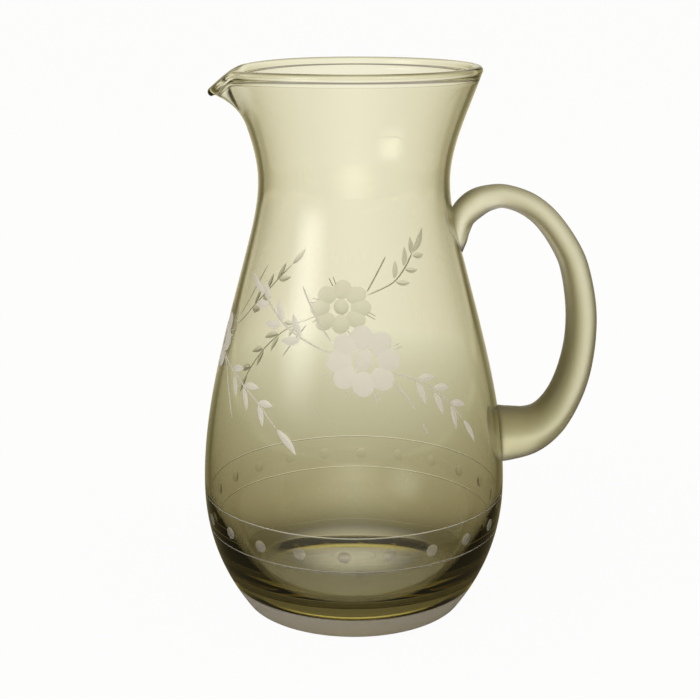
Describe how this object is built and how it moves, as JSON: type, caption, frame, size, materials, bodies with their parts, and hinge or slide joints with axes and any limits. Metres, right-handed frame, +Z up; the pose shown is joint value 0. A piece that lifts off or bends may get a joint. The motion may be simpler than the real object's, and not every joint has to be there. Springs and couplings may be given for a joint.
{
  "type": "cocktail pitcher",
  "caption": "Tinted blown-glass pitcher: full round belly on a flat foot, drawn-in neck, flared rim with a pulled pouring lip, applied loop handle and cut decoration.",
  "frame": {"origin": "centre of the flat foot, on the table", "axes": "+Z up along the pitcher's axis, +X towards the handle, -X towards the pouring lip"},
  "size_m": [0.1709, 0.1318, 0.235],
  "materials": {
    "body_glass": "fire-polished blown glass, smoke olive tint, wheel-cut matt decoration",
    "handle_glass": "fire-polished glass rod, smoke olive tint"
  },
  "bodies": {
    "root": {"vessel": "body_glass", "handle": "handle_glass"}
  },
  "joints": []
}
